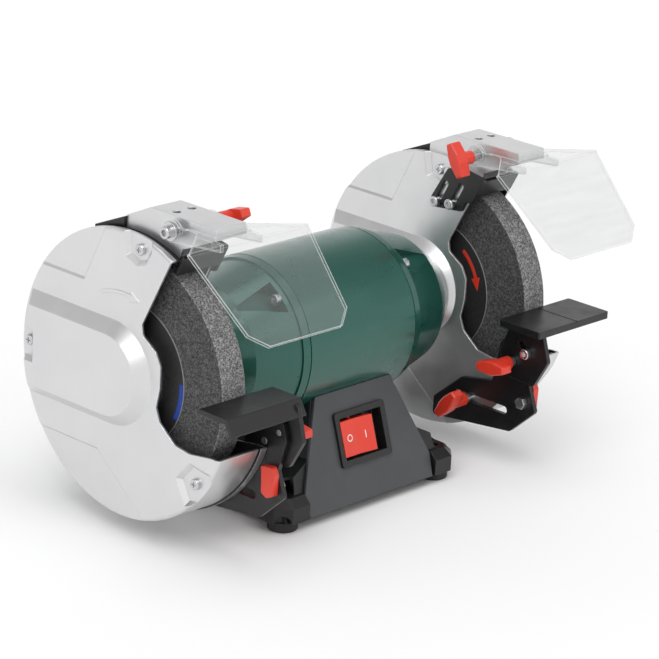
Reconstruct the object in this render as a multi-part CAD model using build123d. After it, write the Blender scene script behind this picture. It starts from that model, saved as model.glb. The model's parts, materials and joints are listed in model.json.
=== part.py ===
from build123d import *
import math
import os

# Bench grinder with two wheels, in millimetres. X runs along the spindle, -Y is the front, +Z is up.
# The functions draw everything around the spindle axis (y = 0, z = 0). save() lifts each piece by
# shaft_height, so the finished part stands on z = 0 with its origin midway between the four feet.
# End pieces are drawn for the right-hand end (+X) and mirrored for the left-hand end.

# Overall
shaft_height = 135.0
wheel_radius = 100.0
wheel_width = 25.0
wheel_bore_radius = 16.0

# Motor
shell_half_length = 69.0
shell_radius = 70.0
shell_wall = 4.0
collar_length = 8.0
collar_drop = 1.3
seam_width = 1.2
seam_depth = 0.7
bell_length = 73.9
bell_radius = 67.0
bell_wall = 4.0
bell_knee_length = 41.0
bell_knee_radius = 56.3
bell_end_radius = 33.5
bell_nose_radius = 32.0
bell_screw_radius = 62.0
bell_screw_angle = 40.5
bell_screw_wall = 4.0
bell_lug_radius = 7.0
bell_lug_length = 18.0
bell_pocket_floor = 55.0
bell_pocket_half_width = 15.0
bell_pocket_lean = 4.5
bell_pocket_wall = 3.0
core_half_length = 38.0
core_bore_radius = 38.0
air_gap = 0.5
winding_reach = 17.0
winding_radius = 54.0

# Spindle and bearings
rotor_shaft_radius = 11.0
journal_radius = 8.5
arbor_radius = 8.0
bearing_radius = 20.0
bearing_width = 12.0
bearing_wall = 4.9
running_clearance = 0.03
flange_radius = 36.0
flange_thickness = 6.2
blotter_radius = 58.0
blotter_thickness = 0.8
nut_thickness = 9.0
nut_flats = 24.0

# Guards
guard_wall = 2.0
guard_side_gap = 11.0
inner_boss_height = 9.0
outer_boss_height = 10.0
boss_half_height = 43.5
boss_centre_y = 10.0
liner_gap = 13.9
liner_thickness = 1.8
rim_step = 1.5
rim_depth = 7.0
rim_slit = 1.0
cover_edge_radius = 3.0
corner_depth = 2.0
pocket_depth = 4.0
cover_screw_radius = 107.0
post_radius = 4.5
shaft_hole_radius = 14.0
guard_screw_reach = 27.0
guard_screw_shift = 6.0

# Base
foot_height = 8.5
foot_radius = 12.5
bolt_spacing_x = 180.0
bolt_spacing_y = 148.0
bolt_hole_radius = 3.5
base_corner_x = 105.8
base_corner_y = 90.0
foot_block_height = 20.0
foot_block_length = 30.6
foot_block_depth = 30.0
foot_chamfer = 11.0
foot_top_chamfer = 7.0
scoop_radius = 7.0
scoop_depth = 4.0
bolt_head_room = 8.0
base_wall = 4.0
base_top_z = -36.0
base_top_half_width = 45.0
base_waist_z = -84.0
base_waist_half_width = 62.0
base_flare_z = -95.0
base_flare_half_width = 85.0
base_knee_z = -107.0
base_bottom_half_width = 98.0
panel_top_y = -59.0
panel_rise_per_depth = 3.0
panel_thickness = 2.5
panel_top_half_width = 43.4
panel_knee_half_width = 74.5
panel_knee_z = -108.0
cover_plate_thickness = 1.5

# Switch
switch_z = -76.0
switch_frame_width = 58.7
switch_frame_height = 45.8
switch_frame_thickness = 2.5
switch_body_width = 53.0
switch_body_height = 40.0
switch_body_depth = 26.0
switch_rim = 2.5
switch_recess_depth = 8.0
rocker_half_width = 16.5
rocker_half_height = 14.8
rocker_x = -6.5
rocker_pivot_depth = 6.0
rocker_pin_radius = 2.0
rocker_off_angle = 8.0

# Eye shield and its holder
hinge_y = -44.0
hinge_z = 128.0
holder_inner_x = 159.0
holder_outer_x = 190.5
holder_top_z = 138.5
holder_front_y = -87.0
holder_rear_y = 12.5
holder_rear_z = 126.0
shield_thickness = 3.0
shield_bend = (-105.0, 133.5)
shield_tip = (-170.0, 74.0)
shield_bend_x = (111.0, 237.0)
shield_low_x = (121.4, 227.0)
shield_tip_x = (135.8, 212.7)
ear_radius = 9.0
hinge_bolt_radius = 3.0

# Tool rests and spark deflectors
plate_thickness = 4.0
slip_gap = 0.3
rest_stud = (-109.0, -34.0)
guide_screw = (-124.0, -23.0)
bracket_stud = (-59.0, -82.0)
lock_stud = (-120.0, -69.0)
knob_bar_length = 11.0
knob_hub_radius = 5.8
knob_neck_length = 6.0
knob_neck_radius = 4.0
shield_knob_length = 27.0
arm_knob_length = 31.0
lever_thickness = 6.0
stud_radius = 3.0
rest_clearance_y = 2.0
rest_tilt_range = 28.0
flat_rest_depth = 44.0
flat_rest_thickness = 6.0
flat_rest_top_z = 4.0
flat_rest_x = (130.0, 220.0)
groove_x = 178.0
groove_width = 1.2
groove_depth = 1.0
lip_rest_thickness = 4.0
lip_rest_top_z = 6.0
lip_rest_x = (139.0, 218.0)
lip_fold_y = -133.0
lip_tip = (-141.0, -6.5)
deflector_thickness = 3.0
deflector_slot_width = 5.6
deflector_wheel_gap = 6.0

# Fasteners
screw_radius = 2.5
screw_head_radius = 4.6
pan_head_height = 3.2
pan_screw_length = 12.0
socket_head_height = 5.0
thread_gap = 0.02
press_gap = 0.02
seat_gap = 0.05

# Stations along the spindle, worked out from the sizes above
bell_end_x = shell_half_length + bell_length
guard_face_x = bell_end_x + seat_gap
guard_plate_x = guard_face_x + inner_boss_height
wheel_inner_x = guard_plate_x + guard_wall + guard_side_gap
wheel_outer_x = wheel_inner_x + wheel_width
cover_plane_x = wheel_outer_x + guard_side_gap + guard_wall
cover_face_x = cover_plane_x + outer_boss_height
bearing_outer_x = bell_end_x - bearing_wall
bearing_inner_x = bearing_outer_x - bearing_width
inner_flange_x = wheel_inner_x - blotter_thickness - flange_thickness
outer_flange_x = wheel_outer_x + blotter_thickness + flange_thickness
liner_inner_radius = wheel_radius + liner_gap
liner_radius = liner_inner_radius + liner_thickness
skirt_radius = liner_radius + slip_gap + guard_wall
rim_radius = skirt_radius + rim_step
base_bottom_z = foot_height - shaft_height
panel_slope = math.hypot(1.0, 1.0 / panel_rise_per_depth)
bracket_x = guard_plate_x - slip_gap - plate_thickness
arm_x = bracket_x - slip_gap - plate_thickness

# Outlines in the YZ plane, shared by both guards
opening_outline = [
    (-62.0, 127.0),
    (-21.2, 47.5),
    (-22.7, 38.8),
    (-37.8, 29.4),
    (-43.5, 18.9),
    (-43.4, 0.7),
    (-40.0, -15.6),
    (-44.7, -26.5),
    (-62.0, -39.6),
    (-79.0, -42.0),
    (-103.0, -38.5),
    (-150.0, -38.5),
    (-150.0, 127.0),
]
upper_corner = [(130.0, 66.5), (46.0, 66.5), (18.0, 125.0), (130.0, 125.0)]
lower_corner = [(130.0, -68.5), (26.0, -68.5), (-48.0, -127.0), (130.0, -127.0)]
top_pocket = [(5.0, 126.0), (0.0, 98.5), (-13.5, 93.0), (-23.5, 96.5), (-30.0, 108.0), (-29.0, 126.0)]
bottom_pocket = [(-79.5, -49.0), (-64.5, -66.0), (-76.0, -86.0), (-110.0, -80.0), (-102.0, -52.0)]
inner_pocket = [(13.5, 126.0), (8.5, 98.0), (-5.0, 93.5), (-16.5, 97.0), (-18.5, 126.0)]
inner_pocket_screw = (-4.0, 106.4)
cover_screw_angles = [7.6, 128.0, 270.0]

os.makedirs("parts", exist_ok=True)


def save(name, *solids):
    """Writes one node, lifted so that the feet stand on z = 0."""
    lifted = [Pos(0, 0, shaft_height) * solid for solid in solids]
    shape = lifted[0] if len(lifted) == 1 else Compound(children=lifted)
    export_step(shape, f"parts/{name}.step")


def save_pair(name, right):
    """Writes a right-hand piece, or a list of them, and the mirrored left-hand copy."""
    pieces = right if isinstance(right, list) else [right]
    save(f"right_{name}", *pieces)
    save(f"left_{name}", *[mirror(piece, about=Plane.YZ) for piece in pieces])


def both_ends(pieces):
    return pieces + [mirror(piece, about=Plane.YZ) for piece in pieces]


def disc(radius, x0, x1, y=0.0, z=0.0):
    """Cylinder along X between two stations."""
    return Pos((x0 + x1) / 2, y, z) * Rot(0, 90, 0) * Cylinder(radius, x1 - x0)


def ring(outer, inner, x0, x1, y=0.0, z=0.0):
    return disc(outer, x0, x1, y, z) - disc(inner, x0 - 1, x1 + 1, y, z)


def block(x0, x1, y0, y1, z0, z1):
    return Pos((x0 + x1) / 2, (y0 + y1) / 2, (z0 + z1) / 2) * Box(x1 - x0, y1 - y0, z1 - z0)


def plate(points, x0, x1, corner=0.0):
    """Outline in the YZ plane, with rounded corners if asked, extruded along X."""
    if corner:
        outline = FilletPolyline(*points, radius=corner, close=True)
    else:
        outline = Polyline(*points, close=True)
    return extrude(Plane.YZ.offset(x0) * make_face(outline), amount=x1 - x0)


def slot(start, end, width, x0, x1):
    """Round-ended slot cutter between two points of the YZ plane."""
    middle = ((start[0] + end[0]) / 2, (start[1] + end[1]) / 2)
    length = math.dist(start, end)
    angle = math.degrees(math.atan2(end[1] - start[1], end[0] - start[0]))
    outline = Pos(*middle) * Rot(0, 0, angle) * SlotCenterToCenter(length, width)
    return extrude(Plane.YZ.offset(x0) * outline, amount=x1 - x0)


def on_radius(radius, angle):
    """Point of the YZ plane, at an angle from straight up, turning towards the front."""
    return (-radius * math.sin(math.radians(angle)), radius * math.cos(math.radians(angle)))


def hexagon(flats, x0, x1, y=0.0, z=0.0):
    outline = Pos(y, z) * RegularPolygon(flats / 2, 6, major_radius=False)
    return extrude(Plane.YZ.offset(x0) * outline, amount=x1 - x0)


def pan_screw():
    """Pan-head screw pointing down local Z, with its head seat at z = 0."""
    head = Pos(0, 0, pan_head_height / 2) * Cylinder(screw_head_radius, pan_head_height)
    head = fillet(head.edges().group_by(Axis.Z)[-1], 1.2)
    shank = Pos(0, 0, -pan_screw_length / 2) * Cylinder(screw_radius, pan_screw_length)
    cross = Box(4.6, 1.1, 2.4) + Box(1.1, 4.6, 2.4)
    return head + shank - Pos(0, 0, pan_head_height) * cross


def socket_screw(length):
    """Socket-head screw pointing down local Z, with its head seat at z = 0."""
    head = Pos(0, 0, socket_head_height / 2) * Cylinder(screw_head_radius, socket_head_height)
    head = chamfer(head.edges().group_by(Axis.Z)[-1], 0.5)
    shank = Pos(0, 0, -length / 2) * Cylinder(screw_radius, length)
    recess = Pos(0, 0, socket_head_height - 2.5) * extrude(
        RegularPolygon(2.0, 6, major_radius=False), amount=4.0
    )
    return head + shank - recess


def facing_out(x, y, z):
    """Places local Z along +X."""
    return Pos(x, y, z) * Rot(0, 90, 0)


def facing_in(x, y, z):
    """Places local Z along -X."""
    return Pos(x, y, z) * Rot(0, -90, 0)


# ---------------------------------------------------------------- motor


def bell_wedge(start_x, half_width, tip_x, floor, top, angle):
    """Triangular prism outwards through the skin of the bell. Its tip leans towards the vertical."""
    lean = bell_pocket_lean * math.copysign(1.0, math.sin(2 * math.radians(angle)))
    outline = make_face(Polyline((start_x, -half_width), (start_x, half_width), (tip_x, lean), close=True))
    return Rot(angle, 0, 0) * Pos(0, 0, floor) * extrude(outline, amount=top - floor)


def motor_shell():
    shell = ring(shell_radius, shell_radius - shell_wall, -shell_half_length, shell_half_length)
    seam_x = shell_half_length - collar_length
    groove = ring(shell_radius + 1, shell_radius - seam_depth, seam_x, seam_x + seam_width)
    taper = make_face(Polyline(
        (seam_x, shell_radius),
        (shell_half_length, shell_radius - collar_drop),
        (shell_half_length, shell_radius + 1),
        (seam_x, shell_radius + 1),
        close=True,
    ))
    groove += revolve(taper, Axis.X)
    shell -= groove
    shell -= mirror(groove, about=Plane.YZ)
    for angle in bell_screw_angles():
        y, z = on_radius(bell_screw_radius, angle)
        lug = disc(bell_lug_radius, shell_half_length - bell_lug_length, shell_half_length, y, z)
        lug = lug & disc(shell_radius - shell_wall / 2, 0, shell_half_length)
        lug -= disc(screw_radius + thread_gap, 0, shell_half_length + 1, y, z)
        shell += lug
        shell += mirror(lug, about=Plane.YZ)
    for x, angle in mount_bolt_places():
        shell -= Rot(angle, 0, 0) * Pos(x, 0, -shell_radius) * Cylinder(screw_radius + thread_gap, 12)
    return shell


def bell_screw_angles():
    return [bell_screw_angle, -bell_screw_angle, 180 - bell_screw_angle, 180 + bell_screw_angle]


def mount_bolt_places():
    """Stations and angles from straight down of the four bolts under the motor."""
    return [(x, angle) for x in (-32.0, 32.0) for angle in (-25.0, 25.0)]


def bell_form(inset, end_x):
    """Turned outside or inside of an end bell: a shallow cone, then a steeper one to the nose."""
    knee_x = shell_half_length + bell_knee_length
    slope = (bell_knee_radius - bell_end_radius) / (bell_end_x - knee_x)
    end_radius = bell_knee_radius - inset - (end_x - knee_x) * slope
    profile = Polyline(
        (shell_half_length, 0),
        (shell_half_length, bell_radius - inset),
        (knee_x, bell_knee_radius - inset),
        (end_x, end_radius),
        (end_x, 0),
        close=True,
    )
    return revolve(make_face(profile), Axis.X)


def end_bell():
    outside = bell_form(0, bell_end_x)
    inside = bell_form(bell_wall, bell_end_x - bell_wall)
    pocket_start_x = shell_half_length + bell_screw_wall
    pocket_tip_x = shell_half_length + bell_knee_length + 8
    skin = bell_pocket_floor - bell_pocket_wall
    beyond = bell_radius + 20
    for angle in bell_screw_angles():
        half_width = bell_pocket_half_width + bell_pocket_wall + 1
        inside -= bell_wedge(shell_half_length - 1, half_width, pocket_tip_x + 7, skin, beyond, angle)
    bell = outside - inside
    bell += disc(bell_nose_radius, bearing_inner_x - 2, bell_end_x)
    for angle in bell_screw_angles():
        bell -= bell_wedge(
            pocket_start_x, bell_pocket_half_width, pocket_tip_x, bell_pocket_floor, beyond, angle
        )
        y, z = on_radius(bell_screw_radius, angle)
        bell -= disc(screw_radius + running_clearance, 0, pocket_start_x + 1, y, z)
    bell -= disc(bearing_radius + press_gap, 0, bearing_outer_x)
    bell -= disc(journal_radius + 3, 0, bell_end_x + 1)
    for y, z in guard_screw_places():
        bell -= disc(screw_radius + thread_gap, bell_end_x - pan_screw_length, bell_end_x + 1, y, z)
    return bell


def stator_core():
    return ring(shell_radius - shell_wall - press_gap, core_bore_radius, -core_half_length, core_half_length)


def stator_windings():
    start_x = core_half_length + seat_gap
    coil = ring(winding_radius, core_bore_radius + 3, start_x, core_half_length + winding_reach)
    return both_ends([fillet(coil.edges().group_by(Axis.X)[-1], 4.0)])


def end_bell_bolts():
    seat_x = shell_half_length + bell_screw_wall
    places = [on_radius(bell_screw_radius, angle) for angle in bell_screw_angles()]
    return both_ends([facing_out(seat_x, y, z) * socket_screw(16.0) for y, z in places])


def motor_mount_bolts():
    """Bolts that hold the motor down on the saddle, with their heads inside the base."""
    seat = -(shell_radius + seat_gap + base_wall)
    length = base_wall + shell_wall - 0.5
    places = mount_bolt_places()
    return [Rot(a, 0, 0) * Pos(x, 0, seat) * Rot(180, 0, 0) * socket_screw(length) for x, a in places]


# ---------------------------------------------------------------- spindle


def rotor_shaft():
    shaft = disc(rotor_shaft_radius, -64, 64)
    for part in both_ends([
        disc(journal_radius + 1.5, 63, bearing_inner_x - seat_gap),
        disc(journal_radius, bearing_inner_x - 1, inner_flange_x),
        disc(arbor_radius, inner_flange_x - 1, outer_flange_x + nut_thickness + 3),
    ]):
        shaft += part
    return chamfer(shaft.edges().group_by(Axis.X)[-1] + shaft.edges().group_by(Axis.X)[0], 1.0)


def rotor_core():
    outer = core_bore_radius - air_gap
    core = ring(outer, rotor_shaft_radius + press_gap, -core_half_length, core_half_length)
    for end in both_ends([ring(33.0, 20.0, core_half_length - 1, core_half_length + 7)]):
        core += end
    return core


def bearing():
    """Deep-groove ball bearing: two rings and their balls."""
    race_gap_inner = 12.3
    race_gap_outer = 16.4
    outer_ring = ring(bearing_radius, race_gap_outer, bearing_inner_x, bearing_outer_x)
    inner_ring = ring(race_gap_inner, journal_radius + running_clearance, bearing_inner_x, bearing_outer_x)
    middle_x = (bearing_inner_x + bearing_outer_x) / 2
    ball_circle = (race_gap_inner + race_gap_outer) / 2
    balls = []
    for step in range(9):
        y, z = on_radius(ball_circle, step * 40.0)
        balls.append(Pos(middle_x, y, z) * Sphere(2.0))
    return [outer_ring, inner_ring] + balls


def grinding_wheel():
    wheel = ring(wheel_radius, wheel_bore_radius, wheel_inner_x, wheel_outer_x)
    rims = wheel.edges().filter_by(GeomType.CIRCLE).filter_by(lambda edge: edge.radius > wheel_radius - 1)
    return chamfer(rims, 0.8)


def wheel_bushing():
    return ring(wheel_bore_radius - press_gap, arbor_radius + 0.05, wheel_inner_x, wheel_outer_x)


def clamp_flange(x0, relief_x0):
    flange = ring(flange_radius, arbor_radius + 0.05, x0, x0 + flange_thickness)
    return flange - disc(flange_radius - 9, relief_x0, relief_x0 + 1.2)


def blotters():
    inner = ring(blotter_radius, wheel_bore_radius, wheel_inner_x - blotter_thickness, wheel_inner_x)
    outer = ring(blotter_radius, wheel_bore_radius, wheel_outer_x, wheel_outer_x + blotter_thickness)
    return both_ends([inner, outer])


def arbor_nut():
    nut = hexagon(nut_flats, outer_flange_x, outer_flange_x + nut_thickness)
    nut = nut & disc(nut_flats / 2 + 1.2, outer_flange_x, outer_flange_x + nut_thickness)
    return nut - disc(arbor_radius + thread_gap, outer_flange_x - 1, outer_flange_x + nut_thickness + 1)


# ---------------------------------------------------------------- guards


def boss(x, direction, half_height, height, radius):
    """Raised U with sloping sides and a round nose. Its rear end slopes down to the rim too."""
    tail = skirt_radius * 1.4
    outline = Pos(boss_centre_y, 0) * Circle(half_height)
    outline += Pos(boss_centre_y + tail / 2, 0) * Rectangle(tail, 2 * half_height)
    base = Plane(origin=(x, 0, 0), x_dir=(0, 1, 0), z_dir=(direction, 0, 0))
    raised = extrude(base * outline, amount=height, taper=45)
    return raised & extrude(base * Circle(radius), amount=height, taper=45)


def wall_offset(half_height, wall):
    """Half height of the boss on the inner skin, for an even wall on its 45 degree slope."""
    return half_height - wall * (math.sqrt(2) - 1)


def guard_screw_places():
    """Screws through the raised face into the end bell."""
    return [
        (guard_screw_shift, guard_screw_reach),
        (guard_screw_shift, -guard_screw_reach),
        (guard_screw_reach, 0.0),
    ]


def cover_screw_places():
    """Place of each cover screw, with how far its pocket is sunk."""
    depths = [pocket_depth, pocket_depth, 0.0]
    return [(*on_radius(cover_screw_radius, a), depth) for a, depth in zip(cover_screw_angles, depths)]


def opening():
    return plate(opening_outline, guard_plate_x - 30, cover_face_x + 10, corner=5.0)


def grown(points, amount):
    """Outline moved outwards on all sides, for the inner skin of a pressed step."""
    return offset(make_face(Polyline(*points, close=True)), amount=amount, kind=Kind.INTERSECTION)


def step(points, amount, x, depth, direction):
    """Cutter for a pressed step with 45 degree walls, sunk from the plane at x along direction."""
    surface = Plane(origin=(x, 0, 0), x_dir=(0, 1, 0), z_dir=(direction, 0, 0))
    side = 1 if direction > 0 else -1
    outline = grown([(y, side * z) for y, z in points], amount)
    return extrude(surface * outline, amount=depth, taper=45)


def inner_guard():
    plate_x = guard_plate_x
    skin_x = plate_x + guard_wall
    outside = disc(rim_radius, plate_x, plate_x + rim_depth)
    outside += boss(plate_x, -1, boss_half_height, inner_boss_height, rim_radius)
    inside = disc(rim_radius - guard_wall, skin_x, plate_x + rim_depth + 1)
    inner_half = wall_offset(boss_half_height, guard_wall)
    inside += boss(skin_x, -1, inner_half, inner_boss_height, rim_radius - guard_wall)
    for points, depth in (
        (upper_corner, corner_depth),
        (lower_corner, corner_depth),
        (inner_pocket, pocket_depth),
    ):
        outside -= step(points, 0.0, plate_x, depth, 1)
        inside -= step(points, guard_wall, skin_x, depth, 1)
    guard = outside - inside - opening()
    for y, z, depth in cover_screw_places():
        post_end_x = cover_plane_x - guard_wall - depth - seat_gap
        guard += disc(post_radius, skin_x - 0.5, post_end_x, y, z)
        guard -= disc(screw_radius + thread_gap, post_end_x - pan_screw_length, post_end_x + 1, y, z)
    guard -= disc(shaft_hole_radius, guard_face_x - 5, plate_x + 5)
    for y, z in guard_screw_places():
        guard -= disc(screw_radius + running_clearance, guard_face_x - 5, plate_x, y, z)
    for y, z in deflector_screw_places():
        guard -= disc(screw_radius + thread_gap, plate_x - 1, plate_x + 5, y, z)
    guard -= disc(screw_radius + thread_gap, plate_x - 1, plate_x + 12, *inner_pocket_screw)
    guard -= disc(stud_radius + thread_gap, plate_x - 1, plate_x + 5, *bracket_stud)
    return guard


def guard_cover():
    skirt_end_x = guard_plate_x + rim_depth + rim_slit
    skin_x = cover_plane_x - guard_wall
    outside = disc(skirt_radius, skirt_end_x, cover_plane_x)
    outside = fillet(outside.edges().group_by(Axis.X)[-1], cover_edge_radius)
    inside = disc(skirt_radius - guard_wall, skirt_end_x - 1, skin_x)
    inside = fillet(inside.edges().group_by(Axis.X)[-1], cover_edge_radius - guard_wall)
    face_radius = skirt_radius - cover_edge_radius
    raised = boss(cover_plane_x, 1, boss_half_height, outer_boss_height, face_radius)
    inner_half = wall_offset(boss_half_height, guard_wall)
    hollow = boss(skin_x, 1, inner_half, outer_boss_height, face_radius - guard_wall)
    notch_y = cover_screw_radius - 13.0
    raised -= block(cover_plane_x, cover_face_x + 5, notch_y, 130, -14, 14)
    hollow -= block(skin_x, cover_face_x, notch_y - guard_wall, 130, -16, 16)
    for points, depth in (
        (upper_corner, corner_depth),
        (lower_corner, corner_depth),
        (top_pocket, pocket_depth),
        (bottom_pocket, pocket_depth),
    ):
        outside -= step(points, 0.0, cover_plane_x, depth, -1)
        inside -= step(points, guard_wall, skin_x, depth, -1)
    cover = outside + raised - (inside + hollow) - opening()
    cover -= block(skirt_end_x - 1, cover_plane_x - 6, -60, 130, 25, 130)
    for y, z, depth in cover_screw_places():
        cover -= disc(screw_radius + running_clearance, cover_plane_x - 10, cover_plane_x + 5, y, z)
    return cover


def spark_liner():
    """Curved liner inside the skirt, with a straight tail that fills the gap behind the holder."""
    x0 = guard_plate_x + guard_wall + pocket_depth + 1.0
    x1 = cover_plane_x - guard_wall - pocket_depth - 1.0
    liner = ring(liner_radius, liner_inner_radius, x0, x1) - opening()
    tail_y = holder_rear_y + slip_gap
    tail = plate([(tail_y, 100), (tail_y, holder_rear_z - 1), (46, 110.5), (46, 100)], x0 + 3, x1 - 3)
    liner += tail - disc(liner_inner_radius, x0, x1)
    for x, angle in holder_screw_places():
        liner -= Rot(angle, 0, 0) * Pos(x, 0, liner_radius) * Cylinder(screw_radius + running_clearance, 20)
    return liner


# ---------------------------------------------------------------- eye shields


def holder_screw_places():
    """Stations and angles from straight up of the screws through the foot of the holder."""
    inset = 7.8
    return [(x, 17.0) for x in (holder_inner_x + inset, holder_outer_x - inset)]


def shield_holder():
    wall = guard_wall
    foot_radius_outer = liner_radius + slip_gap + wall
    side = [
        (holder_rear_y, 105.0),
        (holder_rear_y, holder_rear_z),
        (-14.0, holder_top_z),
        (holder_front_y + 1, holder_top_z),
        (holder_front_y, holder_top_z - 8.5),
        (-60.0, 117.5),
        (-50.0, 113.5),
        (-46.0, 100.0),
    ]
    room = [
        (holder_rear_y - wall, 90.0),
        (holder_rear_y - wall, holder_rear_z - 1.3),
        (-14.4, holder_top_z - wall),
        (holder_front_y + 1 + wall, holder_top_z - wall),
        (holder_front_y + 1 + wall, 90.0),
    ]
    holder = plate(side, holder_inner_x, holder_outer_x) - disc(liner_radius + slip_gap, 150, 200)
    hollow = plate(room, holder_inner_x + wall, holder_outer_x - wall) - disc(foot_radius_outer, 150, 200)
    holder -= hollow
    holder -= disc(hinge_bolt_radius + running_clearance, 150, 200, hinge_y, hinge_z)
    for x, angle in holder_screw_places():
        y = on_radius(foot_radius_outer, angle)[0]
        holder -= Rot(angle, 0, 0) * Pos(x, 0, liner_radius) * Cylinder(screw_radius + running_clearance, 9)
        holder -= Pos(x, y, holder_top_z) * Cylinder(3.6, 10)
    return holder


def sloped_sheet():
    """Clear sheet below the bend: it narrows towards a tip with cut corners."""
    fall = (shield_tip[0] - shield_bend[0], shield_tip[1] - shield_bend[1])
    length = math.hypot(*fall)
    corner_length = length - 13.0
    down = Plane(
        origin=(0, shield_bend[0], shield_bend[1]),
        x_dir=(1, 0, 0),
        z_dir=(0, fall[1], -fall[0]),
    )
    outline = Polyline(
        (shield_bend_x[0], 0),
        (shield_bend_x[1], 0),
        (shield_low_x[1], -corner_length),
        (shield_tip_x[1], -length),
        (shield_tip_x[0], -length),
        (shield_low_x[0], -corner_length),
        close=True,
    )
    return down.location * extrude(make_face(outline), amount=-shield_thickness)


def shield():
    """Clear eye shield: a wide sheet in front, two cheeks and the hinge eyes."""
    outer_cheek_x = holder_outer_x + 3.5
    inner_cheek_x = holder_inner_x - 3.5
    reach = math.hypot(holder_front_y + 1 - hinge_y, holder_top_z - hinge_z)
    sheet_back_y = hinge_y - reach - 1.5
    top_z = shield_bend[1]
    outline = Polyline(
        (shield_bend_x[0], shield_bend[0]),
        (shield_bend_x[1], shield_bend[0]),
        (outer_cheek_x + shield_thickness, -72.0),
        (outer_cheek_x + shield_thickness, -60.0),
        (outer_cheek_x, -60.0),
        (outer_cheek_x, sheet_back_y),
        (inner_cheek_x, sheet_back_y),
        (inner_cheek_x, -60.0),
        (inner_cheek_x - shield_thickness, -60.0),
        (inner_cheek_x - shield_thickness, -72.0),
        close=True,
    )
    sheet = extrude(Pos(0, 0, top_z - shield_thickness) * make_face(outline), amount=shield_thickness)
    sheet += sloped_sheet()
    cheek_outline = [
        (-98.0, top_z - 1),
        (-98.0, top_z - 9),
        (hinge_y - 4, hinge_z - ear_radius + 1),
        (hinge_y + 4, hinge_z - ear_radius + 1.5),
        (hinge_y + 6, hinge_z + 5),
        (-60.0, top_z - 1),
    ]
    for x0, hub_x0, hub_x1 in (
        (outer_cheek_x, holder_outer_x + slip_gap, outer_cheek_x + shield_thickness),
        (inner_cheek_x - shield_thickness, inner_cheek_x - shield_thickness, holder_inner_x - slip_gap),
    ):
        sheet += plate(cheek_outline, x0, x0 + shield_thickness)
        sheet += disc(ear_radius, x0, x0 + shield_thickness, hinge_y, hinge_z)
        sheet += disc(6.5, hub_x0, hub_x1, hinge_y, hinge_z)
    return sheet - disc(hinge_bolt_radius + 0.06, 100, 260, hinge_y, hinge_z)


def shield_bolt():
    """Socket screw and washer through both cheeks and the holder, threaded into the knob."""
    washer_x = holder_outer_x + 3.5 + shield_thickness + slip_gap
    head_x = washer_x + 1.6
    washer = ring(7.5, hinge_bolt_radius + seat_gap, washer_x, head_x - seat_gap, hinge_y, hinge_z)
    bolt = disc(hinge_bolt_radius, shield_knob_x() + 6, head_x, hinge_y, hinge_z)
    head = disc(5.0, head_x, head_x + 6, hinge_y, hinge_z)
    head = chamfer(head.edges().group_by(Axis.X)[-1], 0.6)
    bolt += head - hexagon(5.0, head_x + 2.5, head_x + 7, hinge_y, hinge_z)
    return [bolt, washer]


def shield_knob_x():
    """Free end of the knob on the hinge bolt."""
    collar_end_x = holder_inner_x - 3.5 - shield_thickness - slip_gap
    return collar_end_x - shield_knob_length


def wing_knob(tip_x, seat_x, y, z, angle, bore=0.0, stud_to=None):
    """Knob along X: a tapered cross bar at tip_x, a hub, and a narrower neck that reaches seat_x."""
    direction = 1 if seat_x > tip_x else -1
    neck_x = seat_x - direction * knob_neck_length
    bar = [(-15, -3.2), (-4, -5.8), (4, -5.8), (15, -3.2), (15, 3.2), (4, 5.8), (-4, 5.8), (-15, 3.2)]
    low, high = sorted((tip_x, tip_x + direction * knob_bar_length))
    cross_bar = Pos(0, y, z) * Rot(angle, 0, 0) * plate(bar, low, high, corner=1.5)
    cross_bar = chamfer(cross_bar.faces().sort_by(Axis.X)[0 if direction > 0 else -1].edges(), 1.2)
    low, high = sorted((tip_x + direction * 3, neck_x))
    knob = cross_bar + disc(knob_hub_radius, low, high, y, z)
    low, high = sorted((neck_x - direction, seat_x))
    knob += disc(knob_neck_radius, low, high, y, z)
    if stud_to is not None:
        low, high = sorted((seat_x - direction * 2, stud_to))
        knob += disc(stud_radius, low, high, y, z)
    if bore:
        low, high = sorted((tip_x + direction * 5, seat_x + direction))
        knob -= disc(bore, low, high, y, z)
    return knob


def shield_knob(angle):
    seat_x = holder_inner_x - 3.5 - shield_thickness - slip_gap
    return wing_knob(shield_knob_x(), seat_x, hinge_y, hinge_z, angle, bore=hinge_bolt_radius + seat_gap)


# ---------------------------------------------------------------- spark deflectors


def edge_direction():
    """Unit vector up along the straight upper edge of the guard opening."""
    top, low = opening_outline[0], opening_outline[1]
    length = math.dist(top, low)
    return ((top[0] - low[0]) / length, (top[1] - low[1]) / length)


def edge_point(along, ahead):
    """Point measured up the opening edge from its lower corner, and forward of it."""
    up = edge_direction()
    forward = (-up[1], up[0])
    low = opening_outline[1]
    return (
        low[0] + along * up[0] + ahead * forward[0],
        low[1] + along * up[1] + ahead * forward[1],
    )


def deflector_screw_places():
    return [edge_point(33.0, -12.3), edge_point(24.0, -26.7)]


def spark_deflector():
    """Angle plate: a slotted flange on the guard, and a blade across the wheel."""
    x0 = guard_plate_x - slip_gap - deflector_thickness
    flange = [
        edge_point(33.5, -1),
        edge_point(44, -1),
        edge_point(47, 4.5),
        edge_point(74, 4.5),
        edge_point(68, -15),
        edge_point(56, -32),
        edge_point(23, -34),
        edge_point(17, -27),
    ]
    deflector = plate(flange, x0, x0 + deflector_thickness, corner=2.0)
    for y, z in deflector_screw_places():
        up = edge_direction()
        top = (y + 19 * up[0], z + 19 * up[1])
        deflector -= slot((y, z), top, deflector_slot_width, x0 - 1, x0 + 5)
    blade = [edge_point(46, 1.5), edge_point(71, 1.5), edge_point(71, 4.5), edge_point(46, 4.5)]
    blade = plate(blade, x0, wheel_outer_x + 5)
    return deflector + (blade - disc(wheel_radius + deflector_wheel_gap, 100, 250))


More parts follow.
